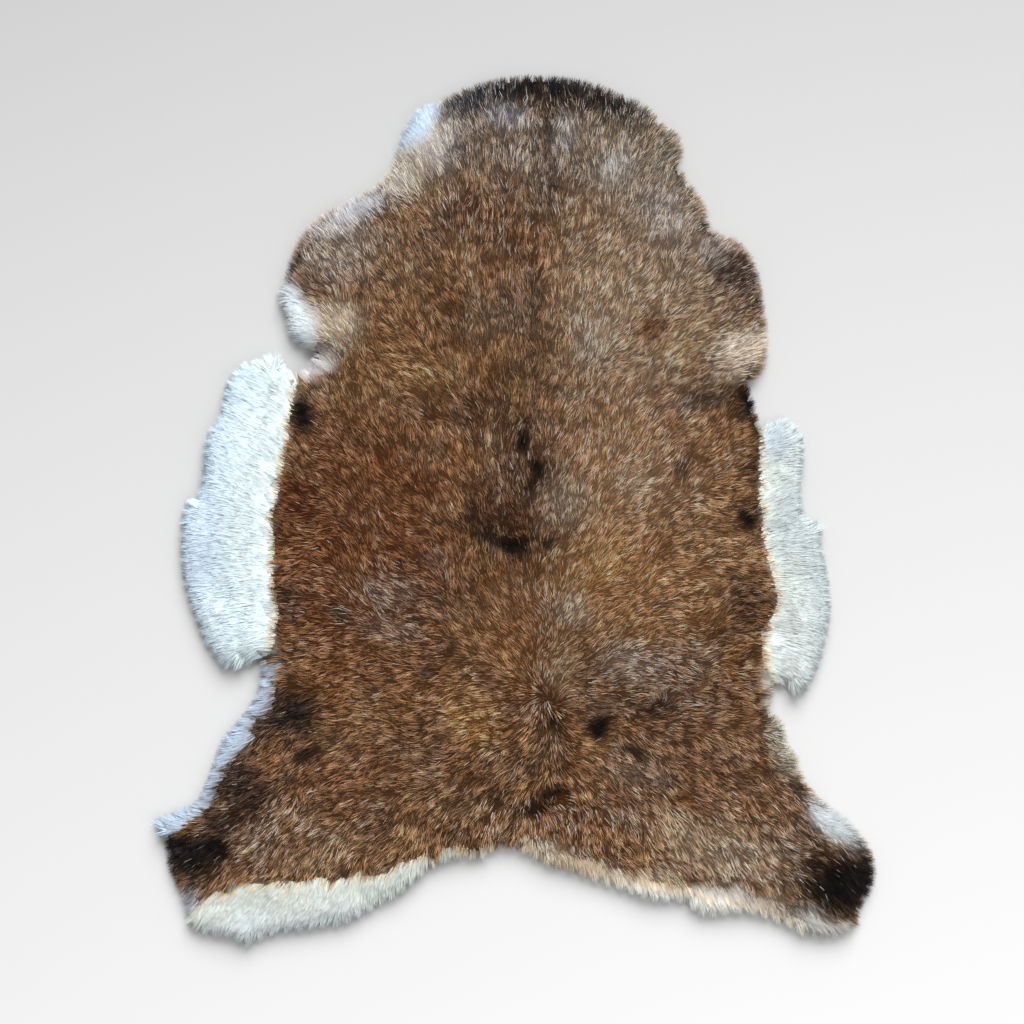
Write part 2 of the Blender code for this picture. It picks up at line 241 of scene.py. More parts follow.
# Named marks: middle and reach in millimetres, turn in degrees
Patch = namedtuple("Patch", "name x y reach_x reach_y turn colour strength")
PATCHES = tuple(Patch(*row) for row in (
    ("rusty left side", -171, -59, 109, 121, 0, (112, 62, 31), 0.8),
    ("rusty left loin", -188, 56, 80, 63, 0, (116, 69, 38), 0.6),
    ("rusty left rump", -165, -197, 103, 46, 8, (121, 76, 40), 0.65),
    ("rusty left haunch", -188, -289, 103, 69, 10, (126, 86, 56), 0.5),
    ("tan left back", -148, 183, 80, 69, 30, (146, 104, 66), 0.55),
    ("brown left shoulder", -131, 298, 57, 52, 20, (132, 102, 78), 0.55),
    ("tan right back", 145, 240, 103, 138, 0, (176, 148, 122), 0.7),
    ("tan right side", 122, 45, 92, 92, 0, (188, 142, 104), 0.65),
    ("tan right rump", 145, -93, 103, 69, 0, (177, 127, 83), 0.6),
    ("rusty right side", 214, 10, 69, 92, 0, (150, 110, 78), 0.5),
    ("brown right haunch", 214, -266, 92, 69, 0, (122, 86, 64), 0.5),
    ("tan right leg", 237, -392, 80, 34, -20, (184, 154, 124), 0.75),
    ("silver neck", 36, 413, 126, 52, 0, (124, 110, 100), 0.7),
    ("silver right neck", 134, 401, 57, 57, -20, (160, 144, 126), 0.6),
    ("grey nape", -2, 233, 37, 39, 0, (118, 98, 84), 0.6),
    ("silver saddle", 21, 45, 55, 53, 0, (92, 66, 52), 0.7),
    ("golden flank", 106, -61, 39, 28, 20, (182, 134, 84), 0.8),
    ("golden rump", -50, -240, 30, 34, 0, (166, 118, 64), 0.7),
    ("golden withers", -79, 158, 39, 23, 0, (160, 120, 78), 0.5),
    ("neck rim left", -29, 477, 53, 25, 12, (34, 36, 46), 0.97),
    ("neck rim middle", 40, 486, 51, 30, 0, (20, 18, 21), 1.0),
    ("neck rim right", 109, 468, 62, 25, -22, (34, 33, 38), 0.95),
    ("neck rim far right", 163, 450, 28, 16, -40, (104, 100, 96), 0.7),
    ("neck silver left", -10, 450, 30, 14, 0, (140, 142, 152), 0.8),
    ("neck silver", 60, 429, 14, 25, 0, (156, 152, 152), 0.6),
    ("neck cream", -91, 417, 46, 32, 40, (194, 187, 180), 0.8),
    ("neck white", -116, 440, 44, 20, 46, (196, 214, 232), 1.0),
    ("neck umber", -59, 415, 17, 18, 0, (84, 68, 60), 0.7),
    ("neck olive edge", 180, 411, 18, 34, -24, (132, 124, 108), 0.85),
    # The marks spine high, spine nape, spine low and spine back are partly darker wool along the spine and partly
    # painted shade in its groove.
    ("spine high", 37, 442, 9, 57, 2, (66, 50, 40), 0.7),
    ("spine nape", 41, 373, 7, 25, 0, (50, 40, 36), 0.6),
    ("spine rust", 30, 317, 10, 37, 0, (104, 66, 44), 0.7),
    ("spine low", 26, 245, 10, 34, 4, (62, 48, 40), 0.7),
    ("spine back", 30, 183, 12, 34, 0, (96, 70, 52), 0.5),
    ("shoulder cream", -128, 378, 30, 28, 40, (188, 172, 150), 0.75),
    ("shoulder silver edge", -190, 337, 51, 18, 32, (192, 196, 204), 0.9),
    ("shoulder grey", -205, 292, 46, 37, 30, (166, 152, 142), 0.7),
    ("shoulder black rim", -252, 284, 8, 30, -22, (52, 44, 47), 0.75),
    ("shoulder brown", -232, 268, 18, 14, 0, (96, 74, 58), 0.6),
    ("elbow cream", -205, 213, 34, 28, 0, (206, 190, 166), 0.75),
    ("elbow white", -252, 220, 21, 44, 28, (232, 244, 252), 1.0),
    ("elbow lilac", -220, 167, 23, 12, 32, (198, 194, 194), 0.9),
    ("back rust line", -85, 199, 53, 9, 0, (100, 60, 36), 0.5),
    ("neck fleck silver", 116, 388, 25, 21, 20, (176, 170, 166), 0.45),
    ("right neck silver", 178, 339, 32, 37, 20, (178, 172, 168), 0.5),
    ("withers silver", 97, 201, 23, 23, 20, (190, 166, 142), 0.6),
    ("withers silver low", 79, 174, 15, 15, 0, (180, 168, 158), 0.35),
    ("right shoulder dark rim", 221, 325, 10, 21, 30, (78, 60, 48), 0.8),
    ("right shoulder silver", 228, 296, 23, 21, 10, (168, 162, 164), 0.5),
    ("right shoulder dark", 255, 268, 34, 25, -20, (70, 60, 58), 0.85),
    ("right shoulder rim", 281, 252, 12, 39, -6, (66, 56, 54), 0.7),
    ("right back gold", 159, 206, 23, 16, 10, (100, 62, 32), 0.9),
    ("right elbow tan", 191, 181, 30, 16, 10, (188, 154, 110), 0.6),
    ("right elbow cream", 263, 183, 37, 25, 14, (204, 190, 172), 0.8),
    ("right elbow low", 249, 153, 30, 9, 10, (190, 172, 150), 0.7),
    # Painted shade: a darker line along the fold at the right elbow.
    ("elbow crease painted shade", 205, 123, 51, 9, 9, (84, 70, 64), 0.85),
    ("right elbow black", 270, 123, 18, 28, 12, (24, 16, 13), 1.0),
    ("right seam", 280, 51, 7, 69, 0, (70, 48, 36), 0.75),
    ("notch black", -243, 112, 13, 28, 4, (18, 12, 11), 1.0),
    ("notch lilac", -225, 137, 21, 14, 20, (124, 100, 90), 0.5),
    ("left seam dark", -252, 24, 8, 15, -10, (52, 36, 28), 0.85),
    ("left seam fleck", -237, -12, 7, 8, 0, (74, 56, 52), 0.7),
    ("left seam rust", -246, -53, 16, 28, 0, (112, 64, 34), 0.7),
    ("left seam brown", -259, -105, 16, 28, 0, (72, 52, 46), 0.75),
    # Painted shade: the three waist crease marks darken the wool along the crease across the waist.
    ("painted crease shade waist left", -194, 84, 46, 10, -4, (88, 58, 40), 0.65),
    ("painted crease shade waist", -62, 107, 51, 8, 0, (104, 66, 42), 0.6),
    ("painted crease shade waist right", 53, 98, 69, 7, 2, (98, 72, 54), 0.5),
    # Painted shade: these three dark spots on the back stand for the shadow in the dimples where the wool parts.
    ("back dimple shade high", 11, 78, 10, 14, 0, (12, 8, 6), 1.0),
    ("back dimple shade", 26, 46, 12, 17, 6, (14, 9, 7), 1.0),
    ("back dimple shade low", 17, 26, 10, 8, 30, (26, 18, 14), 0.95),
    ("saddle dark left", -48, 1, 10, 25, -10, (62, 44, 34), 0.8),
    ("saddle line", -73, -15, 23, 5, 8, (70, 50, 36), 0.6),
    ("saddle fleck", -6, -5, 8, 7, 0, (18, 12, 9), 1.0),
    ("saddle rust", 12, -13, 16, 16, 0, (118, 70, 40), 0.6),
    # Painted shade: the near-black spot at the saddle whorl and its two arms stand for the shadow in the wool's
    # parting.
    ("saddle whorl", 2, -44, 21, 15, 10, (8, 5, 4), 1.0),
    ("saddle parting shade left", -26, -33, 25, 10, -32, (18, 11, 8), 1.0),
    ("saddle parting shade right", 36, -39, 10, 6, 45, (24, 14, 10), 1.0),
    ("saddle rust low", -2, -66, 23, 10, 0, (104, 58, 34), 0.6),
    ("spine rust low", 26, -128, 12, 39, 0, (108, 68, 42), 0.5),
    ("side lilac high", -88, -59, 16, 14, 0, (130, 106, 98), 0.4),
    ("side lilac", -143, -91, 32, 21, 0, (146, 124, 112), 0.45),
    ("side lilac low", -140, -138, 39, 14, -6, (150, 128, 116), 0.45),
    ("side dark", -200, -118, 21, 9, -10, (74, 52, 42), 0.6),
    ("side dark right", -36, -116, 14, 12, 20, (84, 60, 44), 0.6),
    ("rump dark left", -101, -185, 8, 6, 0, (46, 36, 32), 0.8),
    ("rump umber left", -85, -164, 18, 10, 0, (92, 58, 40), 0.5),
    ("back silver", 66, 129, 18, 14, 0, (162, 148, 138), 0.35),
    ("back silver low", 60, 9, 30, 28, 0, (154, 138, 122), 0.6),
    ("right tan fleck", 139, 33, 25, 21, 20, (182, 158, 134), 0.4),
    ("right dark fleck", 191, 49, 8, 15, -25, (66, 44, 32), 0.85),
    ("right rust high", 172, 91, 25, 12, 20, (146, 98, 58), 0.6),
    ("right rust", 155, -47, 34, 14, 14, (142, 92, 54), 0.6),
    ("right side black", 266, -12, 9, 17, 8, (20, 14, 12), 1.0),
    ("right side umber", 281, 3, 8, 9, 0, (56, 40, 30), 0.7),
    ("right seam brown", 266, -105, 23, 28, 0, (76, 50, 38), 0.75),
    ("right line", 173, -110, 10, 5, 20, (50, 34, 26), 0.9),
    ("rump line silver", 67, -115, 21, 21, 20, (184, 168, 150), 0.5),
    ("rump line tan", 53, -174, 16, 34, -10, (168, 146, 118), 0.6),
    ("rump silver", 139, -174, 46, 23, 4, (168, 146, 134), 0.5),
    ("rump rust", 159, -158, 17, 8, 0, (100, 62, 42), 0.5),
    ("rump umber right", 163, -227, 23, 9, 0, (54, 36, 30), 0.85),
    ("whorl rust", 41, -216, 12, 9, 0, (110, 70, 42), 0.8),
    ("rump fleck left", 47, -246, 9, 13, 10, (14, 10, 8), 1.0),
    ("rump fleck middle", 96, -251, 13, 13, 30, (12, 8, 7), 1.0),
    ("rump fleck low", 136, -277, 13, 7, -20, (52, 38, 32), 0.8),
    ("rump fleck under", 37, -271, 7, 7, 0, (40, 28, 22), 0.8),
    ("tail umber", 22, -300, 15, 12, 0, (44, 31, 23), 0.85),
    ("tail fleck", 49, -327, 21, 7, 12, (13, 9, 7), 1.0),
    ("tail fleck low", 25, -343, 13, 9, 20, (15, 10, 8), 1.0),
    ("tail left", -25, -331, 25, 12, 10, (80, 54, 36), 0.7),
    ("haunch fleck", 183, -313, 16, 7, 8, (54, 36, 28), 0.85),
    ("haunch silver", 145, -306, 39, 18, 0, (142, 118, 104), 0.5),
    ("croup gold", 106, -374, 32, 13, -14, (156, 104, 58), 0.6),
    ("croup rust", 67, -365, 28, 13, -10, (114, 72, 44), 0.6),
    ("croup rust left", -35, -360, 28, 13, 0, (122, 74, 44), 0.6),
    ("leg dark high", -255, -235, 34, 30, 0, (36, 26, 23), 0.95),
    ("leg dark edge", -289, -240, 16, 25, -20, (78, 62, 58), 0.7),
    ("leg fleck", -239, -281, 16, 12, 0, (32, 22, 17), 0.95),
    ("leg rust", -227, -302, 23, 14, 0, (98, 58, 34), 0.6),
    ("leg umber", -317, -300, 18, 14, 10, (78, 60, 52), 0.7),
    ("leg dark", -305, -325, 36, 38, 20, (44, 32, 27), 0.9),
    ("hock umber", -328, -360, 21, 12, 10, (60, 44, 38), 0.7),
    ("hock black", -375, -397, 44, 31, -12, (26, 21, 22), 1.0),
    ("hock black inner", -344, -388, 16, 12, 0, (24, 17, 16), 0.95),
    # Painted shade in the crease at the left hock.
    ("leg crease painted shade", -301, -371, 5, 14, -20, (54, 40, 32), 0.7),
    ("leg tan", -303, -383, 16, 12, 10, (146, 114, 84), 0.6),
    ("leg tan low", -211, -394, 57, 16, 14, (158, 122, 88), 0.5),
    ("heel brown", -365, -431, 16, 12, 0, (84, 66, 56), 0.7),
    ("heel lilac", -373, -455, 15, 18, 0, (176, 182, 196), 0.95),
    ("flank flap", 294, -208, 7, 21, 0, (202, 198, 188), 0.95),
    ("right flank dark", 285, -233, 10, 12, 0, (84, 62, 48), 0.7),
    ("right flank edge", 313, -270, 20, 44, 18, (166, 160, 142), 0.85),
    ("right leg umber", 323, -319, 9, 15, 30, (60, 46, 40), 0.8),
    ("right leg brown", 336, -367, 15, 23, 20, (84, 62, 54), 0.7),
    ("right leg white", 369, -362, 41, 16, -42, (200, 208, 212), 1.0),
    ("right leg grey rim", 396, -365, 9, 28, 30, (190, 193, 194), 0.8),
    ("right hock dark", 329, -408, 21, 16, 0, (72, 54, 44), 0.7),
    ("right hock black", 373, -431, 48, 48, 10, (10, 8, 8), 1.0),
    ("right heel silver", 329, -470, 23, 18, 0, (170, 170, 168), 0.85),
    ("right heel rim", 359, -484, 44, 13, -6, (206, 206, 202), 0.95),
    ("thigh edge high", 32, -393, 28, 13, -26, (196, 182, 162), 0.9),
    ("thigh edge", 79, -414, 41, 14, -20, (220, 200, 174), 0.9),
    ("thigh edge middle", 139, -434, 41, 14, -18, (224, 210, 190), 0.95),
    ("thigh edge tan", 173, -429, 21, 16, 0, (204, 184, 156), 0.7),
    ("thigh edge white", 231, -448, 44, 16, -4, (226, 226, 220), 1.0),
    ("thigh edge low", 279, -459, 34, 14, -10, (214, 204, 188), 0.9),
    ("elbow edge white", -235, 167, 12, 14, 0, (208, 206, 208), 0.95),
    ("neck silver right", 116, 392, 23, 10, 60, (170, 166, 162), 0.6),
    ("side fleck", -195, -12, 7, 5, -40, (48, 32, 24), 0.9),
    ("side swirl", -90, -99, 9, 6, 10, (50, 36, 28), 0.85),
    ("spine fleck", -7, -99, 6, 9, 0, (56, 38, 26), 0.8),
    ("side line", -113, -129, 13, 5, -20, (58, 42, 36), 0.85),
    ("side line left", -200, -116, 12, 6, -40, (52, 38, 31), 0.85),
    ("rump fleck left high", -101, -185, 10, 8, 0, (64, 48, 40), 0.8),
    ("side line right", -81, -140, 12, 5, -30, (68, 44, 30), 0.8),
    ("shoulder fleck", 104, 118, 8, 6, 0, (58, 40, 30), 0.85),
    ("rump fleck right", 140, -279, 14, 7, -15, (40, 28, 22), 0.95),
    ("left side rust", -246, 10, 28, 30, 0, (92, 46, 18), 0.85),
    ("golden loin", 7, -151, 63, 55, 0, (148, 97, 52), 0.6),
    ("leg fleck low", -258, -309, 12, 10, 0, (46, 32, 24), 0.85),
    ("saddle shade", -10, -1, 48, 34, 0, (80, 52, 38), 0.5),
    ("neck rim blue", -55, 463, 32, 14, 26, (60, 64, 76), 0.85),
    ("neck cream low", -131, 378, 23, 18, 40, (184, 178, 168), 0.8),
    ("neck olive low", 196, 381, 15, 25, 0, (104, 98, 86), 0.8),
    ("flank dark band", -308, -279, 76, 17, 60, (70, 53, 46), 0.6),
    ("leg dark low", -342, -362, 25, 18, 40, (52, 40, 35), 0.8),
    ("hock black low", -344, -388, 21, 17, 0, (18, 15, 16), 1.0),
    ("hock black rim", -397, -388, 12, 25, 10, (30, 26, 28), 1.0),
    ("right hock rim", 403, -427, 20, 39, 0, (26, 22, 22), 1.0),
))

# Marks on the white wool
TINTS = tuple(Patch(*row) for row in (
    ("right belly top", 301, 80, 20, 26, 0, (184, 196, 203), 1.0),
    ("right belly middle", 316, -13, 26, 40, 0, (188, 199, 201), 0.8),
    ("right belly low", 324, -151, 28, 52, 0, (222, 230, 228), 0.7),
    ("left belly low", -326, -124, 42, 48, 0, (224, 240, 250), 0.8),
    ("left belly rim", -362, -50, 16, 80, 0, (212, 230, 244), 0.7),
))

# Where silver and black hairs stand among the brown ones, in millimetres: the share that they take
Grizzle = namedtuple("Grizzle", "name x y reach_x reach_y turn share")
GRIZZLES = tuple(Grizzle(*row) for row in (
    ("neck", 20, 430, 150, 60, 0, 0.95),
    ("nape", 20, 340, 150, 60, 0, 0.55),
    ("left shoulder", -190, 320, 70, 60, 30, 0.75),
    ("right shoulder", 200, 320, 60, 90, 0, 0.85),
    ("right elbow", 250, 200, 40, 50, 0, 0.6),
    ("left elbow", -215, 190, 50, 40, 0, 0.5),
    ("saddle", 20, 55, 70, 60, 0, 0.35),
    ("right back", 140, 60, 90, 70, 0, 0.45),
    ("right rump", 150, -185, 80, 50, 0, 0.65),
    ("rump line", 42, -150, 22, 80, 0, 0.6),
    ("left side", -150, -110, 90, 50, 0, 0.3),
    ("left leg", -270, -380, 80, 60, 0, 0.5),
    ("right leg", 270, -400, 110, 60, -10, 0.6),
    ("croup", 60, -360, 110, 40, -10, 0.5),
    ("right neck", 170, 340, 60, 60, 0, 1.0),
    ("right withers", 84, 200, 26, 40, 0, 0.9),
    ("rump patch", 140, -172, 50, 24, 0, 1.0),
    ("left side patch", -142, -105, 44, 36, 0, 0.8),
    ("left shoulder edge", -200, 330, 50, 26, 30, 1.0),
))
SILVER = (184, 174, 164)
SOOT = (40, 32, 29)
TAN_TIP = (206, 172, 134)
FADED_HUE = (1.18, 1.00, 0.78)
HUE_SPREAD = (0.05, 0.0, -0.07)
SILVER_SHARE = 0.42
SOOT_SHARE = 0.34
SILVER_MIX = (0.35, 0.65)
SOOT_MIX = (0.45, 0.55)

# Light and dark locks: by chance, by wisp, by tuft, and less overall. By wisp is painted shade: wisps that lie
# lower in the pile are darker, those that lie higher lighter.
LIGHT_CHANCE = 0.48
WISP_PAINTED_SHADE = 1.5
LIGHT_TUFT = 0.5
LIGHT_LESS = 0.10
DARK_TUFTS = (0.15, 0.3)
FADED = (0.32, 0.4)
MOST_TANNED = 0.30

# The floor's tone, paler away from the neck: painted shade, darker towards the neck and a little towards the left
FLOOR_SIZE = 4.0
FLOOR_TILT = -26.1
FLOOR_SPAN = 16.0
FLOOR_PAINTED_SHADE_TONES = (0.372, 0.676)

# Lights, and the camera straight above
Softbox = namedtuple("Softbox", "name place target size power")
LIGHTS = (
    Softbox("key light", (0.6, 3.4, 3.3), (0, 0, 0), 3.8, 387),
    Softbox("fill light", (1.6, -1.4, 3.2), (0.1, -0.1, 0), 2.6, 30),
)
SKY = 0.43
LENS = 80
SENSOR = 36
VIEW_WIDTH = 1.1776
VIEW_MIDDLE = (-0.0029, -0.0037)


def linear(colour):
    """A seen colour, from 0 to 255, as the linear light that it stands for."""
    value = np.asarray(colour, dtype=float) / 255
    return np.where(value <= 0.04045, value / 12.92, ((value + 0.055) / 1.055) ** 2.4)


def cloud(points, size, layer):
    """Soft random values from -1 to 1 that change over a length in millimetres."""
    chance = np.random.default_rng(layer)
    grid = chance.uniform(-1, 1, (256, 256))
    place = points / (size * MM) + 64
    cell = np.floor(place).astype(int)
    part = place - cell
    part = part * part * (3 - 2 * part)
    x0, y0 = cell[:, 0] % 256, cell[:, 1] % 256
    x1, y1 = (x0 + 1) % 256, (y0 + 1) % 256
    low = grid[x0, y0] * (1 - part[:, 0]) + grid[x1, y0] * part[:, 0]
    high = grid[x0, y1] * (1 - part[:, 0]) + grid[x1, y1] * part[:, 0]
    return low * (1 - part[:, 1]) + high * part[:, 1]


def edge_line(step):
    """The pelt's edge as a closed Bezier curve, in points at an even step."""
    curve = bpy.data.curves.new("edge", "CURVE")
    curve.dimensions = "2D"
    curve.fill_mode = "NONE"
    curve.resolution_u = EDGE_RESOLUTION
    spline = curve.splines.new("BEZIER")
    knots = []
    for stretch in EDGE:
        for number, point in enumerate(stretch.points, 1):
            knots.append((point, number == len(stretch.points)))
    spline.bezier_points.add(len(knots) - 1)
    for knot, (point, corner) in zip(spline.bezier_points, knots):
        knot.co = (point[0] * MM - MIDDLE[0], point[1] * MM - MIDDLE[1], 0.0)
        handle = "VECTOR" if corner else "AUTO"
        knot.handle_left_type = handle
        knot.handle_right_type = handle
    spline.use_cyclic_u = True
    holder = bpy.data.objects.new("edge", curve)
    bpy.context.scene.collection.objects.link(holder)
    bpy.context.view_layer.update()
    evaluated = holder.evaluated_get(bpy.context.evaluated_depsgraph_get())
    points = np.array([vertex.co[:2] for vertex in evaluated.to_mesh().vertices])
    evaluated.to_mesh_clear()
    bpy.data.objects.remove(holder, do_unlink=True)
    bpy.data.curves.remove(curve)
    closed = np.vstack([points, points[:1]])
    along = np.concatenate([[0.0], np.cumsum(np.linalg.norm(np.diff(closed, axis=0), axis=1))])
    wanted = np.arange(round(along[-1] / step)) * along[-1] / round(along[-1] / step)
    return np.column_stack([np.interp(wanted, along, closed[:, axis]) for axis in (0, 1)])


def nearest_edge(points, line):
    """Distance of each point to the edge, and the unit direction straight out to it."""
    spans = np.roll(line, -1, axis=0) - line
    nearest = np.full(len(points), np.inf)
    towards = np.zeros_like(points)
    for start, span in zip(line, spans):
        share = np.clip(((points - start) @ span) / (span @ span), 0.0, 1.0)
        reach = start + share[:, None] * span - points
        gap = np.hypot(reach[:, 0], reach[:, 1])
        closer = gap < nearest
        nearest[closer] = gap[closer]
        towards[closer] = reach[closer]
    return nearest, towards / np.maximum(nearest, 1e-9)[:, None]


def inside_edge(points, line):
    """True for each point inside the edge."""
    inside = np.zeros(len(points), dtype=bool)
    for (x0, y0), (x1, y1) in zip(line, np.roll(line, -1, axis=0)):
        if y0 == y1:
            continue
        crosses = (y0 > points[:, 1]) != (y1 > points[:, 1])
        inside ^= crosses & (points[:, 0] < x0 + (points[:, 1] - y0) * (x1 - x0) / (y1 - y0))
    return inside


def spot_of(mark):
    """A mark's place in metres."""
    return np.array([mark.x, mark.y]) * MM - MIDDLE


def whorl_share(points, whorl, wider=1):
    """Share of a whorl at each point: full in its middle, fading out beyond its reach."""
    gap = np.linalg.norm(points - spot_of(whorl), axis=1)
    return np.exp(-(gap / (wider * whorl.reach * MM)) ** 2)


def heading_at(points):
    """Unit direction in plan in which the wool lies at each point."""
    total = np.zeros_like(points)
    for lay in LAYS:
        away = points - spot_of(lay)
        weight = 1.0 / ((away ** 2).sum(axis=1) + LAY_SOFTNESS ** 2) ** 1.6
        turn = math.radians(lay.heading)
        total += weight[:, None] * np.array([math.cos(turn), math.sin(turn)])
    total /= np.linalg.norm(total, axis=1)[:, None]
    for whorl in WHORLS:
        away = points - spot_of(whorl)
        gap = np.linalg.norm(away, axis=1)
        share = WHORL_PULL * whorl_share(points, whorl)[:, None]
        total = total * (1 - share) + away / np.maximum(gap, 1e-6)[:, None] * share
    return total / np.maximum(np.linalg.norm(total, axis=1), 1e-9)[:, None]


def turned(directions, angles):
    """Plan directions turned by angles in radians."""
    cos, sin = np.cos(angles), np.sin(angles)
    return np.column_stack([directions[:, 0] * cos - directions[:, 1] * sin,
                            directions[:, 0] * sin + directions[:, 1] * cos])


def staggered(spacing, seed):
    """A field of uneven points inside the edge, at a spacing in millimetres."""
    chance = np.random.default_rng(seed)
    step = spacing * MM
    rise = step * math.sqrt(3) / 2
    low, high = EDGE_LINE.min(axis=0), EDGE_LINE.max(axis=0)
    columns = int((high[0] - low[0]) / step) + 2
    rows = int((high[1] - low[1]) / rise) + 2
    across, up = np.meshgrid(np.arange(columns), np.arange(rows))
    x = low[0] + (across + 0.5 * (up % 2)) * step
    y = low[1] + up * rise
    field = np.column_stack([x.ravel(), y.ravel()])
    field += chance.uniform(-0.45, 0.45, field.shape) * step
    return field[inside_edge(field, EDGE_LINE)]


def tuft_of(points, size, seed):
    """The middle of the small tuft that each point belongs to, and a number of its own for each tuft."""
    chance = np.random.default_rng(seed)
    shifts = chance.uniform(0.05, 0.95, (512, 512, 2))
    marks = chance.uniform(0, 1, (512, 512))
    place = points / (size * MM) + 128
    cell = np.floor(place).astype(int)
    best = np.full(len(points), np.inf)
    middle = np.zeros_like(points)
    mark = np.zeros(len(points))
    for step_x in (-1, 0, 1):
        for step_y in (-1, 0, 1):
            other = cell + (step_x, step_y)
            spot = other + shifts[other[:, 0] % 512, other[:, 1] % 512]
            gap = ((spot - place) ** 2).sum(axis=1)
            closer = gap < best
            best[closer] = gap[closer]
            middle[closer] = ((spot - 128) * size * MM)[closer]
            mark[closer] = marks[other[:, 0] % 512, other[:, 1] % 512][closer]
    return middle, mark


def past_line(points, area):
    """How far each point lies past the line of a white area, and whether it stands between the line's ends."""
    spots = np.array(area.line) * MM - MIDDLE
    other = 1 - area.axis
    spots = spots[np.argsort(spots[:, other])]
    reach = area.side * (points[:, area.axis] - np.interp(points[:, other], spots[:, other], spots[:, area.axis]))
    within = np.clip((points[:, other] - spots[0, other]) / LINE_END + 1, 0, 1)
    within *= np.clip((spots[-1, other] - points[:, other]) / LINE_END + 1, 0, 1)
    return reach, within


def off_middle(points, mark):
    """How far each point lies from a mark's middle, squared: 1 where the mark's reach ends."""
    turn = math.radians(mark.turn)
    away = points - spot_of(mark)
    along = (away[:, 0] * math.cos(turn) + away[:, 1] * math.sin(turn)) / (mark.reach_x * MM)
    across = (away[:, 1] * math.cos(turn) - away[:, 0] * math.sin(turn)) / (mark.reach_y * MM)
    return along ** 2 + across ** 2


def laid_over(colour, other, share):
    """A colour with a share of another colour, given as seen, laid over it."""
    return colour * (1 - share) + linear(other) * share


def patch_over(colour, points, patch, within=1):
    """A colour with a patch over it: full in the patch's middle, gone a little beyond its reach."""
    share = patch.strength * np.exp(-off_middle(points, patch) ** 2)[:, None] * within
    return laid_over(colour, patch.colour, share)


def wander(points):
    """How far each mark strays from its drawn place: a slow drift and a quicker one."""
    return sum(np.column_stack([cloud(points, size, layer) for layer in layers]) * reach * MM
               for size, reach, *layers in WANDERS)


def markings(points, middles):
    """Colour of the coat at each point, in linear light, how pale it is, and how much of it is belly wool.

    A lock is white or brown over its whole length, so the white areas are looked up at the lock's middle.
    """
    ragged = points + wander(points)
    colour = np.tile(linear(BROWN), (len(points), 1))
    for mottle in MOTTLES:
        share = mottle.share * np.clip(0.1 + 1.3 * cloud(points, mottle.size, mottle.layer), 0, 1)
        colour = laid_over(colour, mottle.colour, share[:, None])
    for patch in PATCHES:
        colour = patch_over(colour, ragged, patch)
    belly = np.zeros(len(points))
    stray = wander(middles)
    for area in WHITE_AREAS:
        reach, within = past_line(middles + stray * area.ragged, area)
        band = np.clip((reach + BAND_DEPTHS[0]) / BAND_DEPTHS[1], 0, 1) * within
        white = np.clip(reach / WHITE_DEPTH, 0, 1) * within
        low, high = area.depths[0] * MM, area.depths[1] * MM
        deep = np.clip((reach - low) / (high - low), 0, 1)[:, None]
        colour = laid_over(colour, area.band, band[:, None])
        colour += (linear(area.inner) * (1 - deep) + linear(area.outer) * deep - colour) * white[:, None]
        belly = np.maximum(belly, white)
    for patch in TINTS:
        colour = patch_over(colour, points, patch, belly[:, None])
    pale = np.maximum(belly, np.clip((colour.mean(axis=1) - PALE_FROM) / (PALE_FULL - PALE_FROM), 0, 1))
    return colour, pale, belly


def grizzle_at(points):
    """Share of silver and black hairs at each point, from 0 to 1."""
    share = np.full(len(points), 0.05)
    for place in GRIZZLES:
        share = np.maximum(share, place.share * np.exp(-off_middle(points, place)))
    return share * np.clip(1 + 0.9 * cloud(points, 16, 71), 0, 1.6)


def pile_top(points, tree):
    """Height of the solid's top at each point, and which way it faces."""
    heights = np.zeros(len(points))
    facings = np.zeros((len(points), 3))
    for number, (x, y) in enumerate(points):
        place, normal, _, _ = tree.ray_cast(Vector((x, y, 0.1)), Vector((0, 0, -1)))
        if place is None:
            heights[number] = -1.0
            continue
        heights[number] = place.z
        facings[number] = normal
    return heights, facings


def unit(vectors):
    """Vectors at a length of 1."""
    return vectors / np.maximum(np.linalg.norm(vectors, axis=1), 1e-9)[:, None]


def rooted(coat):
    """Where a coat's locks stand and head, the way out to the edge, how pale and how near it they are."""
    plan = staggered(coat.spacing, coat.seed)
    gap, outward = nearest_edge(plan, EDGE_LINE)
    keep = gap > RIM_INSET
    plan, gap, outward = plan[keep], gap[keep], outward[keep]
    near = np.clip(1 - gap / RIM_TURN, 0, 1)
    out = RIM_OUTWARD * near
    heading = unit(heading_at(plan) * (1 - out)[:, None] + outward * out[:, None])
    shorter = 1 - RIM_SHORTER[coat.pale] * near
    shown = plan + heading * (coat.length * MM * SHOWN_AT * shorter)[:, None]
    _, pale, belly = markings(shown, shown)
    keep = (belly > 0.5) == coat.pale
    return [column[keep] for column in (plan, heading, outward, pale, near, shorter)]


def sway_of(plan, calm, near, chance):
    """Angle by which each lock strays from the lay: in waves, by chance, and round the whorls."""
    sway = np.zeros(len(plan))
    for size, spread, layer in HEADING_WAVES:
        sway += math.radians(spread) * cloud(plan, size, layer) * WAVE_STRENGTH
    sway += math.radians(HEADING_SPREAD) * chance.normal(size=len(plan))
    sway *= calm * (1 - 0.4 * near)
    for whorl in WHORLS:
        sway += WHORL_TWIST * whorl_share(plan, whorl, WHORL_WIDER)
    return sway


def rise_of(plan, pale, calm, near, mark, chance):
    """Angle at which each lock stands up from the pile."""
    lay = LAY_ANGLE + PALE_LAY * pale + RIM_LAY * near * (1 - pale)
    lay += (LAY_SPREAD * chance.normal(size=len(plan)) + LAY_TUFT * (mark - 0.5)) * calm ** 1.5 * (1 - 0.5 * near)
    for whorl in WHORLS:
        lay += WHORL_RISE * whorl_share(plan, whorl)
    return np.radians(np.clip(lay, *LAY_LIMITS))[:, None]


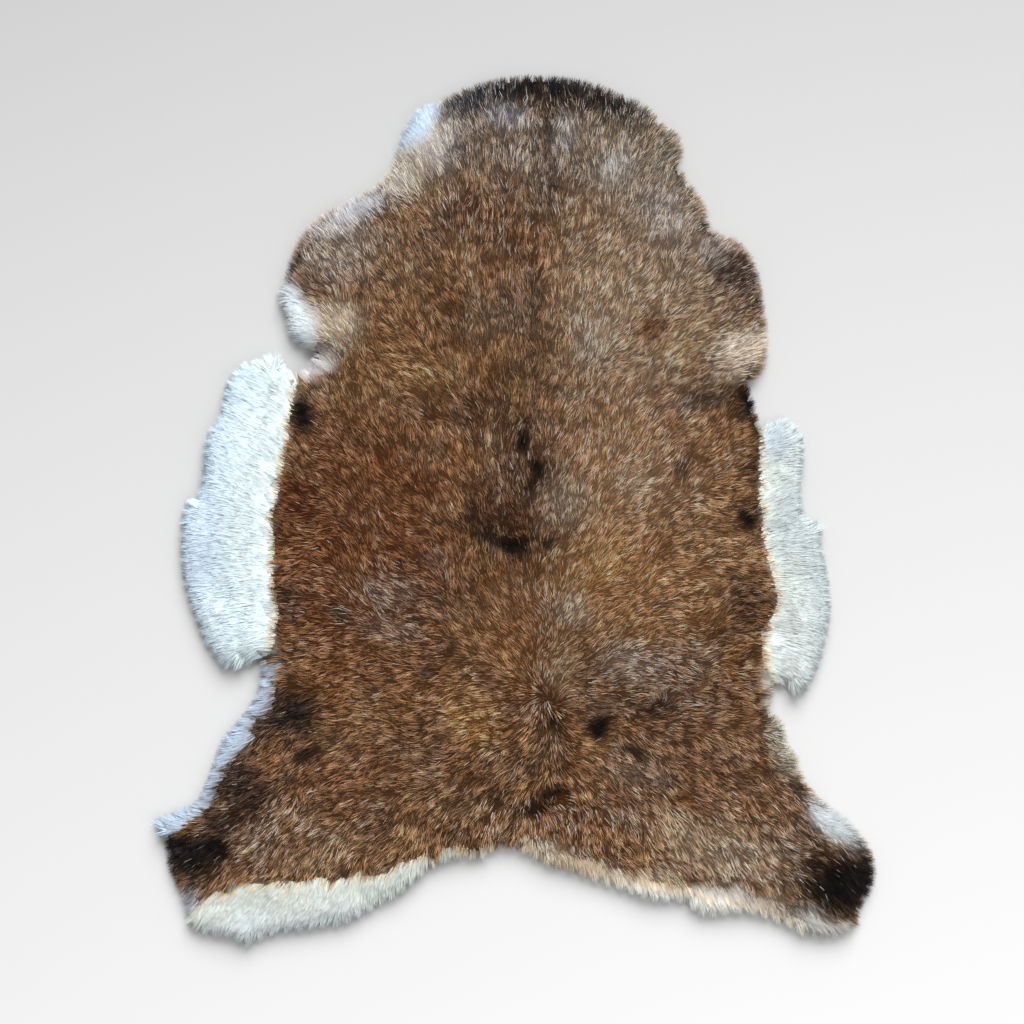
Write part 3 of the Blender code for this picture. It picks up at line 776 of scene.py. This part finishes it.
def grow(coat, tree):
    """Roots, bends, tips, widths and colours of one coat's locks."""
    chance = np.random.default_rng(coat.seed)
    columns = rooted(coat)
    columns += pile_top(columns[0], tree)
    found = columns[-2] > 0
    plan, heading, outward, pale, near, shorter, heights, facings = (column[found] for column in columns)
    count = len(plan)
    calm = 1 - CALM * pale
    heading = turned(heading, sway_of(plan, calm, near, chance))

    tufts = [(tuft_of(plan, size, seed), pull) for size, pull, seed in (WISP,) + TUFTS]
    wisp, mark = tufts[0][0][1], tufts[1][0][1]
    along = np.column_stack([heading, np.zeros(count)])
    along = unit(along - facings * (along * facings).sum(axis=1)[:, None])
    lay = rise_of(plan, pale, calm, near, mark, chance)
    direction = along * np.cos(lay) + facings * np.sin(lay)

    length = coat.length * MM * (1 + (chance.uniform(*LENGTHS, count) - 1) * (1 - 0.7 * near)) * shorter
    sink = coat.depth * MM * chance.uniform(*DEPTHS, count) * (1 if coat.pale else 1 - 0.4 * pale)
    sink -= WISP_STEP * (wisp - 0.5) * (1 - pale) * (1 - near)
    for area in BELLY_LOBES:
        reach, within = past_line(plan, area)
        length *= 1 - LINE_SHORTER * np.clip(1 + reach / LINE_REACH, 0, 1) * within * (not coat.pale)
    root = np.column_stack([plan, heights]) - facings * sink[:, None]
    even = np.clip((near - RIM_EVEN[0]) / (RIM_EVEN[1] - RIM_EVEN[0]), 0, 1)
    to_edge = nearest_edge(root[:, :2], EDGE_LINE)[0] + chance.uniform(*RIM_RAGGED[coat.pale], count)
    to_edge /= np.maximum((direction[:, :2] * outward).sum(axis=1), 0.35)
    length += (np.clip(to_edge, 0.5 * length, 1.5 * coat.length * MM) - length) * even
    tip = root + direction * length[:, None]
    for (middle, tuft_mark), pull in tufts:
        gather = middle + heading * (coat.length * MM * GATHER_AT)
        share = pull * (0.3 + 1.4 * tuft_mark) * (1 - 0.6 * pale) * chance.uniform(*GATHERS, count)
        share *= np.clip(1.1 - 2 * near, 0, 1)
        tip[:, :2] += (gather - tip[:, :2]) * np.minimum(share, MOST_GATHERED)[:, None]

    bend = (root + tip) / 2 + facings * (coat.bow * MM * chance.uniform(*BOWS, count))[:, None]
    for place, lowest in ((root, ROOT_CLEARANCE), (bend, BEND_CLEARANCE), (tip, FLOOR_CLEARANCE)):
        place[:, 2] = np.maximum(place[:, 2], lowest)
    width = coat.width * MM * chance.uniform(*WIDTHS, count) * (1 - 0.35 * near)
    run = (tip - root)[:, :2]
    middles = root[:, :2] + run * SHOWN_AT
    low, high = (markings(root[:, :2] + run * share, middles) for share in STATIONS)
    shades = lock_shades(plan, low[0], high[0], high[1], wisp, mark, chance)
    return {"coat": coat, "plan": plan, "root": root, "bend": bend, "tip": tip, "width": width, "shades": shades,
            "facing": facings, "soft": SOFTNESS[0] + (SOFTNESS[1] - SOFTNESS[0]) * pale}


def lock_shades(plan, low, high, pale, wisp, mark, chance):
    """Colours of each lock at its root, bend and tip: dark in the pile with painted shade, lighter at the shorn
    end.
    """
    count = len(plan)
    grizzled = grizzle_at(plan) * (1 - pale) * np.clip(high.mean(axis=1) / 0.07, 0.1, 1)
    pick = chance.uniform(0, 1, count)
    silver = (pick < SILVER_SHARE * grizzled)[:, None]
    soot = (pick > 1 - SOOT_SHARE * grizzled)[:, None]
    spread = 1 - 0.9 * pale
    # The wisp's share is painted shade: wisps sunk lower in the pile come out darker.
    light = LIGHT_CHANCE * chance.normal(size=count) + WISP_PAINTED_SHADE * (wisp - 0.5) + LIGHT_TUFT * (mark - 0.5)
    light = np.exp((light - LIGHT_LESS) * spread) * (1 - DARK_TUFTS[1] * (mark < DARK_TUFTS[0]) * spread)
    faded = (np.clip((light - 1) * FADED[0], 0, FADED[1]) * spread)[:, None]
    hue = 1 + chance.normal(size=(count, 1)) * np.array(HUE_SPREAD) * spread[:, None]
    bodies = []
    for colour in (low, high):
        body = np.where(silver, SILVER_MIX[0] * colour + SILVER_MIX[1] * linear(SILVER), colour)
        body = np.where(soot, SOOT_MIX[0] * colour + SOOT_MIX[1] * linear(SOOT), body)
        body = body * (1 - faded) + body.mean(axis=1)[:, None] * np.array(FADED_HUE) * faded
        bodies.append(body * light[:, None] * hue)
    tanned = MOST_TANNED * chance.uniform(0, 1, count) * spread
    tanned *= np.clip(bodies[1].mean(axis=1) / 0.08, 0, 1) ** 2
    tip = bodies[1] * ((1.75 - 0.73 * pale) * (1 - tanned))[:, None] + linear(TAN_TIP) * tanned[:, None]
    # Painted shade deep in the pile: the root is darkened to under a tenth of a brown lock's colour and the bend a
    # little, white wool less.
    root = bodies[0] * (0.09 + 0.85 * pale)[:, None]
    bend = (bodies[0] + bodies[1]) / 2 * (0.78 + 0.22 * pale)[:, None]
    return np.clip(np.stack([root, bend, tip], axis=1), 0.002, 0.93)


def lock_meshes(locks):
    """Corners, triangles and shading directions of three-sided locks, each closed and drawn out to a point."""
    root, bend, tip, width = (locks[key] for key in ("root", "bend", "tip", "width"))
    facing, soft = locks["facing"], locks["soft"][:, None]
    run = unit(tip - root)
    side = unit(np.cross(run, np.array([0.0, 0.0, 1.0])))
    lift = np.cross(side, run)
    rings, shading = [], []
    for centre, share in ((root, 1.0), (bend, BEND_WIDTH)) if locks["coat"].bent else ((root, 1.0),):
        for angle in (90, 210, 330):
            turn = math.radians(angle)
            reach = side * math.cos(turn) + lift * (LOCK_FLATNESS * math.sin(turn))
            rings.append(centre + reach * (width * share / 2)[:, None])
            shading.append(unit(unit(reach) * (1 - soft) + facing * soft))
    rings.append(tip)
    shading.append(unit(lift * (1 - soft) + facing * soft))
    if locks["coat"].bent:
        faces = [(0, 1, 2)]
        for a, b in ((0, 1), (1, 2), (2, 0)):
            faces += [(a, a + 3, b + 3), (a, b + 3, b), (a + 3, 6, b + 3)]
    else:
        faces = [(0, 1, 2), (0, 3, 1), (1, 3, 2), (2, 3, 0)]
    return np.stack(rings, axis=1), np.array(faces), np.stack(shading, axis=1)


def fibre_map(coat):
    """Bake map of the locks: each lock has a small cell of its own, root at the bottom and tip at the top."""
    if coat.bent:
        cells = [((0.08, 0.02), (0.92, 0.02), (0.5, 0.08))]
        for apex in (0.08, 0.92, 0.5):
            cells += [((0.08, 0.06), (0.08, 0.5), (0.92, 0.5)), ((0.08, 0.06), (0.92, 0.5), (0.92, 0.06)),
                      ((0.08, 0.5), (apex, 0.97), (0.92, 0.5))]
    else:
        cells = [((0.08, 0.02), (0.92, 0.02), (0.5, 0.06))]
        for apex in (0.08, 0.5, 0.92):
            cells.append(((0.08, 0.06), (apex, 0.97), (0.92, 0.06)))
    return np.array(cells)


def paint(data, shades):
    """Keeps the wool's colours on the corners of a mesh."""
    tint = data.color_attributes.new("wool tint", "FLOAT_COLOR", "POINT")
    tint.data.foreach_set("color", np.column_stack([shades, np.ones(len(shades))]).astype(np.float32).ravel())


def shown_piece(data, material):
    """A mesh in its material, shown under its own name."""
    data.materials.append(material)
    piece = bpy.data.objects.new(data.name, data)
    bpy.context.scene.collection.objects.link(piece)
    return piece


def mesh_data(name, mesh):
    """A finished mesh from a worked one."""
    data = bpy.data.meshes.new(name)
    mesh.to_mesh(data)
    mesh.free()
    return data


def wool_piece(name, parts, material):
    """One mesh of locks from several coats, with their colours and their bake map."""
    corners, triangles, shades, shading, cells, offset = [], [], [], [], [], 0
    total = sum(len(part["root"]) for part in parts)
    columns = math.ceil(math.sqrt(total * 2))
    rows = math.ceil(total / columns)
    order = 0
    for part in parts:
        count = len(part["root"])
        points, faces, directions = lock_meshes(part)
        per_lock = points.shape[1]
        shading.append(directions.reshape(-1, 3))
        corners.append(points.reshape(-1, 3))
        starts = offset + np.arange(count)[:, None, None] * per_lock
        triangles.append((faces[None] + starts).reshape(-1, 3))
        offset += count * per_lock
        tone = part["shades"]
        if part["coat"].bent:
            stations = np.stack([tone[:, 0]] * 3 + [tone[:, 1]] * 3 + [tone[:, 2]], axis=1)
        else:
            stations = np.stack([tone[:, 0]] * 3 + [tone[:, 2]], axis=1)
        shades.append(stations.reshape(-1, 3))
        cell = fibre_map(part["coat"])
        place = order + np.arange(count)
        low = np.column_stack([(place % columns) / columns, (place // columns) / rows])
        spots = low[:, None, None, :] + cell[None] * np.array([1 / columns, 1 / rows])
        cells.append(spots.reshape(-1, 2))
        order += count
    data = bpy.data.meshes.new(name)
    data.from_pydata(np.concatenate(corners), [], np.concatenate(triangles))
    paint(data, np.concatenate(shades))
    layer = data.uv_layers.new(name="OFBake")
    layer.uv.foreach_set("vector", np.concatenate(cells).astype(np.float32).ravel())
    data.shade_smooth()
    data.normals_split_custom_set_from_vertices(np.concatenate(shading).tolist())
    return shown_piece(data, material)


def new_material(name):
    """A material, its node tree and its surface."""
    material = bpy.data.materials.new(name)
    material.use_nodes = True
    return material, material.node_tree, material.node_tree.nodes["Principled BSDF"]


def add_node(tree, kind, values=(), feeds=(), **settings):
    """A shader node with its values, fed by other nodes."""
    node = tree.nodes.new("ShaderNode" + kind)
    for setting, value in settings.items():
        setattr(node, setting, value)
    for socket, value in dict(values).items():
        node.inputs[socket].default_value = value
    for socket, source in dict(feeds).items():
        tree.links.new(source, node.inputs[socket])
    return node


def noise(tree, place, scale, detail, **more):
    """Noise over a place, from 0 to 1."""
    return add_node(tree, "TexNoise", {"Scale": scale, "Detail": detail, **more}, {"Vector": place}).outputs["Fac"]


def ranged(tree, value, low, high):
    """A value from 0 to 1 brought into a range."""
    return add_node(tree, "MapRange", {"To Min": low, "To Max": high}, {"Value": value}).outputs["Result"]


def multiplied(tree, colour, share):
    """A colour multiplied by a share."""
    return add_node(tree, "Mix", {"Factor": 1.0}, {"A": colour, "B": share},
                    data_type="RGBA", blend_type="MULTIPLY").outputs["Result"]


def wear_group():
    """Fine uneven dirt and gloss, shared by all the wool: a tint goes in, a colour and a roughness come out."""
    group = bpy.data.node_groups.new("wool wear", "ShaderNodeTree")
    group.interface.new_socket("Tint", in_out="INPUT", socket_type="NodeSocketColor")
    group.interface.new_socket("Colour", in_out="OUTPUT", socket_type="NodeSocketColor")
    group.interface.new_socket("Roughness", in_out="OUTPUT", socket_type="NodeSocketFloat")
    given, result = group.nodes.new("NodeGroupInput"), group.nodes.new("NodeGroupOutput")
    grime = noise(group, add_node(group, "TexCoord").outputs["Object"], 420, 3)
    colour = multiplied(group, given.outputs["Tint"], ranged(group, grime, 0.82, 1.16))
    group.links.new(colour, result.inputs["Colour"])
    group.links.new(ranged(group, grime, 0.55, 0.8), result.inputs["Roughness"])
    return group


def wool_material(name, wear):
    """Wool: the markings, and the painted shade deep in the pile, come from the colours stored on each lock, with
    the wear over them.
    """
    material, tree, surface = new_material(name)
    tint = add_node(tree, "Attribute", attribute_name="wool tint")
    worn = add_node(tree, "Group", (), (), node_tree=wear)
    tree.links.new(tint.outputs["Color"], worn.inputs["Tint"])
    tree.links.new(worn.outputs["Colour"], surface.inputs["Base Color"])
    tree.links.new(worn.outputs["Roughness"], surface.inputs["Roughness"])
    surface.inputs["Specular IOR Level"].default_value = 0.06
    return material


def underwool_material(wear):
    """Matted wool below the locks, rough with fine fibres that hang down its sides."""
    material = wool_material("underwool", wear)
    tree = material.node_tree
    stretch = add_node(tree, "Mapping", {"Scale": (1.0, 1.0, 0.22)},
                       {"Vector": add_node(tree, "TexCoord").outputs["Object"]})
    fibres = noise(tree, stretch.outputs["Vector"], 620, 4)
    bump = add_node(tree, "Bump", {"Strength": 0.9, "Distance": 0.0035}, {"Height": fibres})
    tree.links.new(bump.outputs["Normal"], tree.nodes["Principled BSDF"].inputs["Normal"])
    return material


def suede_material():
    """The hide's flesh side: buffed suede with a mottle and fine fibres."""
    material, tree, surface = new_material("suede")
    place = add_node(tree, "TexCoord").outputs["Object"]
    tone = add_node(tree, "ValToRGB", (), {"Fac": noise(tree, place, 14, 6, Roughness=0.6)})
    for end, position, colour in zip(tone.color_ramp.elements, (0.32, 0.68), ((196, 172, 138), (232, 216, 190))):
        end.position = position
        end.color = (*linear(colour), 1)
    nap = noise(tree, place, 900, 4)
    colour = multiplied(tree, tone.outputs["Color"], ranged(tree, nap, 0.88, 1.1))
    tree.links.new(colour, surface.inputs["Base Color"])
    bump = add_node(tree, "Bump", {"Strength": 0.35, "Distance": 0.0006}, {"Height": nap})
    tree.links.new(bump.outputs["Normal"], surface.inputs["Normal"])
    surface.inputs["Roughness"].default_value = 0.9
    surface.inputs["Sheen Weight"].default_value = 0.2
    return material


def inset_line(line, inset):
    """The edge drawn in by an inset, without the points that another stretch crowds."""
    heading = np.roll(line, -1, axis=0) - np.roll(line, 1, axis=0)
    heading /= np.linalg.norm(heading, axis=1)[:, None]
    moved = line - np.column_stack([heading[:, 1], -heading[:, 0]]) * inset
    gap, _ = nearest_edge(moved, line)
    return moved[gap > 0.93 * inset]


def hide_piece():
    """The tanned hide: one flat sheet of suede, cut a little inside the wool."""
    mesh = bmesh.new()
    cut = inset_line(EDGE_LINE, HIDE_CUT_BACK)
    rim = [mesh.verts.new((x, y, 0.0)) for x, y in cut]
    face = mesh.faces.new(rim)
    if face.normal.z > 0:
        face.normal_flip()
    bmesh.ops.solidify(mesh, geom=[face], thickness=HIDE_THICKNESS)
    bmesh.ops.recalc_face_normals(mesh, faces=mesh.faces)
    low = min(vertex.co.z for vertex in mesh.verts)
    bmesh.ops.translate(mesh, verts=mesh.verts, vec=(0, 0, -low))
    bmesh.ops.triangulate(mesh, faces=[face for face in mesh.faces if len(face.verts) > 4])
    piece = shown_piece(mesh_data("suede_hide", mesh), suede_material())
    return piece


def underwool_piece(material):
    """The matted wool that the locks stand in: the solid's own form, drawn in under the locks."""
    mesh = bmesh.new()
    mesh.from_mesh(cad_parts[PELT].data)
    bmesh.ops.remove_doubles(mesh, verts=mesh.verts, dist=1e-6)
    mesh.normal_update()
    moves = {vertex: vertex.normal * UNDERWOOL_SINK for vertex in mesh.verts if vertex.co.z > 0.001}
    plan = np.array([vertex.co[:2] for vertex in mesh.verts])
    gap, outward = nearest_edge(plan, EDGE_LINE)
    inside = inside_edge(plan, EDGE_LINE)
    depth = np.where(inside, gap, -gap)
    draw = np.clip(UNDERWOOL_BACK - depth, 0, None)[:, None] * outward * np.where(inside, 1, -1)[:, None]
    for vertex, pull in zip(mesh.verts, draw):
        if vertex in moves:
            vertex.co -= moves[vertex]
        else:
            vertex.co.z = HIDE_THICKNESS
        vertex.co.x -= pull[0]
        vertex.co.y -= pull[1]
        vertex.co.z = max(vertex.co.z, HIDE_THICKNESS)
    for face in mesh.faces:
        face.smooth = True
    data = mesh_data("underwool", mesh)
    points = np.array([vertex.co[:] for vertex in data.vertices])
    colour, pale, _ = markings(points[:, :2], points[:, :2])
    # Painted shade under the locks: brown underwool is darkened to under a third of its colour, white underwool a
    # little.
    paint(data, colour * (0.30 + 0.60 * pale)[:, None])
    return shown_piece(data, material)


def coat_pieces(tree, material):
    """All locks of all coats, as one mesh for each region of the pelt."""
    centres = np.array([(region.x, region.y) for region in REGIONS]) * MM
    grown = []
    for coat in COATS:
        locks = grow(coat, tree)
        reach = ((locks["plan"][:, None, :] - centres[None]) ** 2).sum(axis=2)
        grown.append((locks, reach.argmin(axis=1)))
    pieces = []
    for number, region in enumerate(REGIONS):
        parts = []
        for locks, owner in grown:
            mine = np.flatnonzero(owner == number)
            row = np.floor(locks["plan"][mine, 1] / SWEEP_ROW).astype(int)
            sweep = np.where(row % 2 == 0, locks["plan"][mine, 0], -locks["plan"][mine, 0])
            mine = mine[np.lexsort((sweep, row))]
            parts.append({key: value if key == "coat" else value[mine] for key, value in locks.items()})
        pieces.append(wool_piece(region.name, parts, material))
    return pieces


def floor_piece():
    """A plain pale floor, a little paler on one side, with painted shade darker towards the neck."""
    mesh = bmesh.new()
    bmesh.ops.create_grid(mesh, x_segments=1, y_segments=1, size=FLOOR_SIZE)
    material, tree, surface = new_material("pale floor")
    parts = add_node(tree, "SeparateXYZ", (), {"Vector": add_node(tree, "TexCoord").outputs["Object"]})
    slope = add_node(tree, "Math", {1: FLOOR_TILT}, {0: parts.outputs["Y"], 2: parts.outputs["X"]},
                     operation="MULTIPLY_ADD")
    # Painted shade: the floor's colour runs darker towards the neck and a little towards the left.
    tone = add_node(tree, "MapRange", {"From Min": -FLOOR_SPAN, "From Max": FLOOR_SPAN,
                                       "To Min": FLOOR_PAINTED_SHADE_TONES[0], "To Max": FLOOR_PAINTED_SHADE_TONES[1]},
                    {"Value": slope.outputs["Value"]})
    tree.links.new(tone.outputs["Result"], surface.inputs["Base Color"])
    surface.inputs["Roughness"].default_value = 0.9
    surface.inputs["Specular IOR Level"].default_value = 0.1
    return shown_piece(mesh_data("floor", mesh), material)


def softbox(name, place, target, size, power):
    """A large soft light that looks at a target."""
    lamp = bpy.data.lights.new(name, "AREA")
    lamp.shape = "DISK"
    lamp.size = size
    lamp.energy = power
    light = bpy.data.objects.new(name, lamp)
    light.location = place
    light.rotation_euler = (Vector(target) - Vector(place)).to_track_quat("-Z", "Y").to_euler()
    bpy.context.scene.collection.objects.link(light)


def studio():
    """Soft light from beyond the neck, an even fill, and the camera straight above."""
    scene = bpy.context.scene
    for light in LIGHTS:
        softbox(*light)
    world = bpy.data.worlds.new("studio")
    world.use_nodes = True
    sky = world.node_tree.nodes["Background"]
    sky.inputs["Color"].default_value = (1, 1, 1, 1)
    sky.inputs["Strength"].default_value = SKY
    scene.world = world
    scene.view_settings.view_transform = "Standard"
    lens = bpy.data.cameras.new("camera")
    lens.lens = LENS
    lens.sensor_width = SENSOR
    camera = bpy.data.objects.new("camera", lens)
    camera.location = (*VIEW_MIDDLE, VIEW_WIDTH * LENS / SENSOR)
    scene.collection.objects.link(camera)
    scene.camera = camera


EDGE_LINE = edge_line(EDGE_STEP)
pelt_tree = BVHTree.FromObject(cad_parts[PELT], bpy.context.evaluated_depsgraph_get())

floor = floor_piece()

wear = wear_group()
hide = hide_piece()
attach(hide, "root")
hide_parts(PELT)

for piece in [underwool_piece(underwool_material(wear))] + coat_pieces(pelt_tree, wool_material("wool", wear)):
    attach(piece, "root")
    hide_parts(PELT)

studio()
